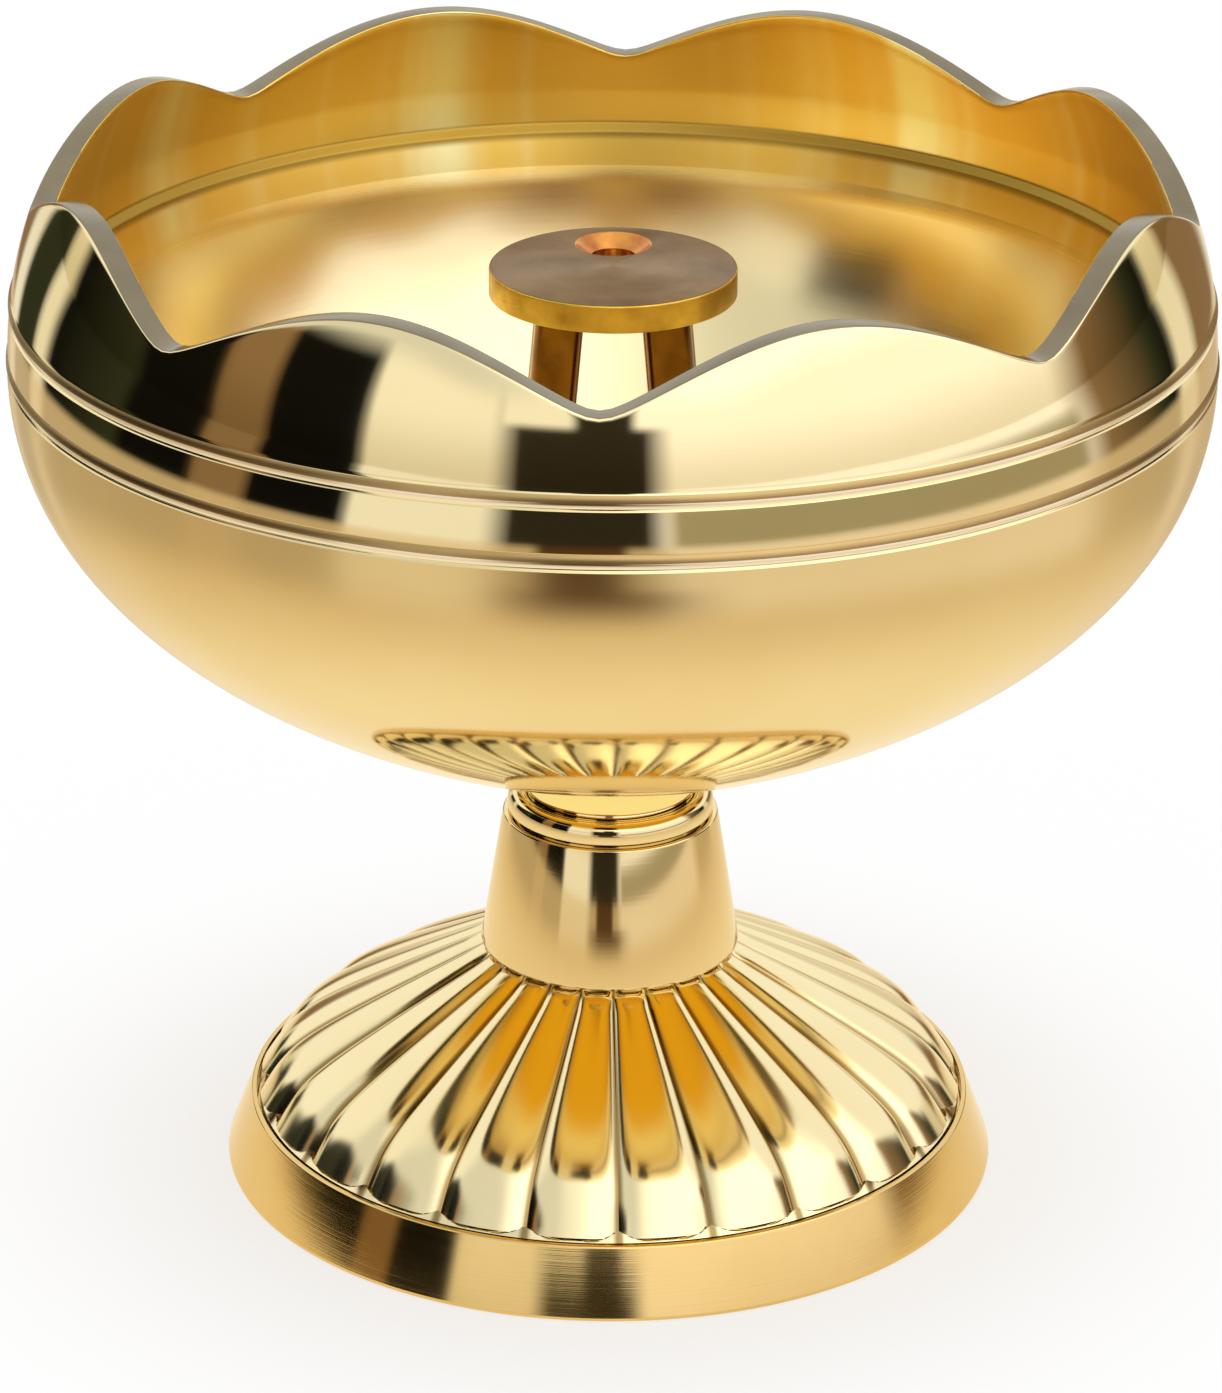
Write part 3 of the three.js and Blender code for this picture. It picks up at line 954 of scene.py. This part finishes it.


# Wick legs: four round brass rods coloured a dark brown, brazed into sockets under the plate. They
# lean outwards and stand loose on the bowl's floor.
leg_radius, leg_foot, leg_top, leg_top_distance = 2.4, 51.3, 93.8, 7.1
leg_lean = math.tan(math.radians(7))
leg_brass = metal(
    "leg_brass",
    (0.24, 0.10, 0.010),
    (0.12, 0.045, 0.005),
    rough=0.12,
    rough_spread=0.1,
    marks=(1500, 300),
    marks_height=0.004,
    cloud=300,
    cloud_amount=0.8,
)
for k in range(4):
    azimuth = math.radians(45 + 90 * k)
    bpy.ops.object.select_all(action="DESELECT")
    bpy.ops.mesh.primitive_circle_add(
        vertices=48, radius=leg_radius * MM, fill_type="NGON", location=(0, 0, leg_foot * MM)
    )
    leg = bpy.context.object
    leg.name = leg.data.name = f"wick_stand_leg_{k + 1}"
    bpy.ops.object.transform_apply(location=True, rotation=True, scale=True)
    bpy.ops.object.mode_set(mode="EDIT")
    bpy.ops.mesh.select_all(action="SELECT")
    distance = leg_top_distance + leg_lean * (leg_top - leg_foot)
    bpy.ops.transform.translate(value=spot(distance, 0, azimuth))
    bpy.ops.mesh.inset(thickness=0.25 * MM)
    bpy.ops.mesh.select_all(action="SELECT")
    bpy.ops.mesh.normals_make_consistent(inside=False)
    bpy.ops.mesh.select_mode(type="FACE")
    bpy.ops.mesh.select_all(action="SELECT")
    rise = Vector(spot(-leg_lean * (leg_top - leg_foot), leg_top - leg_foot, azimuth))
    bpy.ops.mesh.extrude_region_move(TRANSFORM_OT_translate={"value": rise})
    close_skin(leg, 32)
    leg.data.materials.append(leg_brass)
    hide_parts(f"wick_leg_{k + 1}")
    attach(leg, "wick_stand")


# Floor and light: a plain white sweep under an even white sky. The brass is a mirror, so what
# stands round the lamp shows in it: a pale room with a few dark upright strips, and a dark gap
# in front.
white, paper_white = (1.0, 1.0, 1.0, 1), (0.98, 0.98, 0.96, 1)
window_white, back_white = (1.2, 1.2, 1.28, 1), (1.05, 1.05, 1.0, 1)


def make_room():
    """What the brass sees all round, as a colour by the angle from the front."""
    group = bpy.data.node_groups.new("room_strips", "ShaderNodeTree")
    group.interface.new_socket("Direction", in_out="INPUT", socket_type="NodeSocketVector")
    group.interface.new_socket("Colour", in_out="OUTPUT", socket_type="NodeSocketColor")
    group.interface.new_socket("Degrees", in_out="OUTPUT", socket_type="NodeSocketFloat")
    given, result = group.nodes.new("NodeGroupInput"), group.nodes.new("NodeGroupOutput")
    parts = group.nodes.new("ShaderNodeSeparateXYZ")
    group.links.new(given.outputs[0], parts.inputs[0])
    x, y, z = parts.outputs
    angle = math_node(group, "ARCTAN2", x, math_node(group, "MULTIPLY", y, -1))
    share = math_node(group, "MULTIPLY_ADD", angle, 1 / TURN, 0.5)
    ramp = group.nodes.new("ShaderNodeValToRGB")
    cream, pale, bright = (0.9, 0.86, 0.72, 1), paper_white, window_white
    dark, brown, green = (0.005, 0.005, 0.004, 1), (0.27, 0.17, 0.09, 1), (0.03, 0.035, 0.018, 1)
    gap = (0.03, 0.025, 0.016, 1)
    stops = [
        (-180, cream), (-166, cream), (-161, brown), (-152, brown), (-149, cream), (-145, cream),
        (-142, green), (-132, green), (-130, cream), (-126, cream), (-123, dark), (-99, green),
        (-96, dark), (-79, dark), (-77, brown), (-67, brown), (-65, dark), (-47, dark),
        (-45, pale), (-22, pale), (-17, gap), (6, gap), (11, bright), (88, bright),
        (98, brown), (116, green), (122, dark), (125, cream), (131, cream), (135, brown),
        (150, brown), (158, cream),
    ]
    while len(ramp.color_ramp.elements) < len(stops):
        ramp.color_ramp.elements.new(0.5)
    for element, (degrees, colour) in zip(ramp.color_ramp.elements, stops):
        element.position = degrees / 360 + 0.5
        element.color = colour
    group.links.new(share, ramp.inputs[0])
    group.links.new(ramp.outputs[0], result.inputs[0])
    group.links.new(math_node(group, "MULTIPLY", angle, 360 / TURN), result.inputs[1])
    return group


def ease(tree, value, low, high, start=0.0, end=1.0):
    """A smooth step of a number between two values."""
    node = tree.nodes.new("ShaderNodeMapRange")
    node.interpolation_type = "SMOOTHSTEP"
    limits = {"From Min": low, "From Max": high, "To Min": start, "To Max": end}
    for label, number in limits.items():
        node.inputs[label].default_value = number
    tree.links.new(value, node.inputs["Value"])
    return node.outputs[0]


room = make_room()
world = bpy.data.worlds.new("studio")
bpy.context.scene.world = world
world.use_nodes = True
sky = world.node_tree
sky.nodes.clear()
direction = sky.nodes.new("ShaderNodeTexCoord")
strips = sky.nodes.new("ShaderNodeGroup")
strips.node_tree = room
sky.links.new(direction.outputs["Generated"], strips.inputs[0])
parts = sky.nodes.new("ShaderNodeSeparateXYZ")
sky.links.new(direction.outputs["Generated"], parts.inputs[0])
in_front = mix_colour(
    sky, ease(sky, parts.outputs["X"], -0.45, 0.3), (0.80, 0.82, 0.80, 1), (1.7, 1.7, 1.65, 1)
)
ceiling = mix_colour(sky, ease(sky, parts.outputs["Y"], -0.1, 0.3), in_front, back_white)

# The strips end at a height that is lower in front and behind than at the sides.
turn = math_node(sky, "ABSOLUTE", strips.outputs["Degrees"])
raised = math_node(sky, "ADD", parts.outputs["Z"], ease(sky, turn, 20, 45, 0.12, 0.02))
raised = math_node(sky, "ADD", raised, ease(sky, turn, 95, 125, 0.0, 0.3))
shaded = mix_colour(
    sky, ease(sky, parts.outputs["Z"], -0.05, 0.3), (0.80, 0.76, 0.66, 1), (1.08, 1.07, 1.04, 1)
)

# The dark gap in front is narrower in its upper part.
off_middle = math_node(sky, "ABSOLUTE", math_node(sky, "ADD", strips.outputs["Degrees"], 1.5))
narrowed = math_node(sky, "MULTIPLY", ease(sky, off_middle, 4, 7), ease(sky, off_middle, 20, 18))
narrowed = math_node(sky, "MULTIPLY", narrowed, ease(sky, parts.outputs["Z"], 0.23, 0.28))
beside_gap = mix_colour(
    sky, ease(sky, strips.outputs["Degrees"], -3, 0), paper_white, window_white
)
around = mix_colour(sky, narrowed, strips.outputs[0], beside_gap)
walls = mix_colour(sky, 1.0, around, shaded)
walls.node.blend_type = "MULTIPLY"
walls_and_ceiling = mix_colour(sky, ease(sky, raised, 0.43, 0.56), walls, ceiling)
ray = sky.nodes.new("ShaderNodeLightPath")
seen = mix_colour(sky, ray.outputs["Is Glossy Ray"], white, walls_and_ceiling)
background = sky.nodes.new("ShaderNodeBackground")
sky.links.new(seen, background.inputs["Color"])
output = sky.nodes.new("ShaderNodeOutputWorld")
sky.links.new(background.outputs[0], output.inputs[0])

bpy.ops.object.select_all(action="DESELECT")
bpy.ops.mesh.primitive_plane_add(size=8, location=(0, 0, 0))
floor = bpy.context.object
floor.name = "floor"
sheet = bpy.data.materials.new("white_sheet")
sheet.use_nodes = True
tree = sheet.node_tree
tree.nodes.clear()
place = tree.nodes.new("ShaderNodeTexCoord")
strips = tree.nodes.new("ShaderNodeGroup")
strips.node_tree = room
tree.links.new(place.outputs["Object"], strips.inputs[0])
degrees = strips.outputs["Degrees"]
reach = tree.nodes.new("ShaderNodeVectorMath")
reach.operation = "LENGTH"
tree.links.new(place.outputs["Object"], reach.inputs[0])
distance = reach.outputs["Value"]

# Far from the lamp the floor carries the room's strips on to the brass. Near it the floor is
# painted a warm glow, standing in for light the brass throws down into the bowl's shade, and the
# dark gap in front is painted on it as a shadow, one broad patch that narrows to a line further
# out.
on_the_right = math_node(
    tree, "MULTIPLY", ease(tree, degrees, 8, 12), ease(tree, degrees, 94, 90)
)
far = mix_colour(tree, on_the_right, strips.outputs[0], (0.40, 0.36, 0.25, 1))
far = mix_colour(tree, ease(tree, distance, 0.6, 1.8), far, strips.outputs[0])
# Painted warm glow near the lamp, seen only in the brass.
near = mix_colour(
    tree, ease(tree, distance, 0.05, 0.16), (1.02, 0.90, 0.66, 1), (0.80, 0.64, 0.42, 1)
)
in_strips = math_node(tree, "MULTIPLY", ease(tree, distance, 0.13, 0.2), 0.3)
near = mix_colour(tree, in_strips, near, strips.outputs[0])
# Painted shadow in front of the lamp, seen only in the brass.
painted_gap_shadow_patch = math_node(
    tree,
    "MULTIPLY",
    math_node(tree, "MULTIPLY", ease(tree, degrees, -24, -8), ease(tree, degrees, 22, 2)),
    math_node(tree, "MULTIPLY", ease(tree, distance, 0.13, 0.2), ease(tree, distance, 0.23, 0.2)),
)
painted_gap_shadow_line = math_node(
    tree,
    "MULTIPLY",
    math_node(tree, "MULTIPLY", ease(tree, degrees, -14, -11), ease(tree, degrees, 4, 1)),
    ease(tree, distance, 0.19, 0.21),
)
gap = math_node(tree, "MAXIMUM", painted_gap_shadow_patch, painted_gap_shadow_line)
near = mix_colour(tree, gap, near, (0.10, 0.05, 0.02, 1))
reflected = mix_colour(tree, ease(tree, distance, 0.325, 0.37), near, far)
ray = tree.nodes.new("ShaderNodeLightPath")
colour = mix_colour(tree, ray.outputs["Is Glossy Ray"], white, reflected)
glow = tree.nodes.new("ShaderNodeEmission")
tree.links.new(colour, glow.inputs["Color"])
paper = tree.nodes.new("ShaderNodeBsdfDiffuse")
paper.inputs["Color"].default_value = white

# The sheet shows white from its own glow, and the soft shade under the foot from the paper.
both = tree.nodes.new("ShaderNodeMixShader")
lit = math_node(
    tree, "MULTIPLY", ray.outputs["Is Camera Ray"], ease(tree, distance, 0.042, 0.08, 0.55, 0.94)
)
shown = math_node(tree, "MAXIMUM", lit, ray.outputs["Is Glossy Ray"])
tree.links.new(shown, both.inputs[0])
tree.links.new(paper.outputs[0], both.inputs[1])
tree.links.new(glow.outputs[0], both.inputs[2])
output = tree.nodes.new("ShaderNodeOutputMaterial")
tree.links.new(both.outputs[0], output.inputs[0])
floor.data.materials.append(sheet)
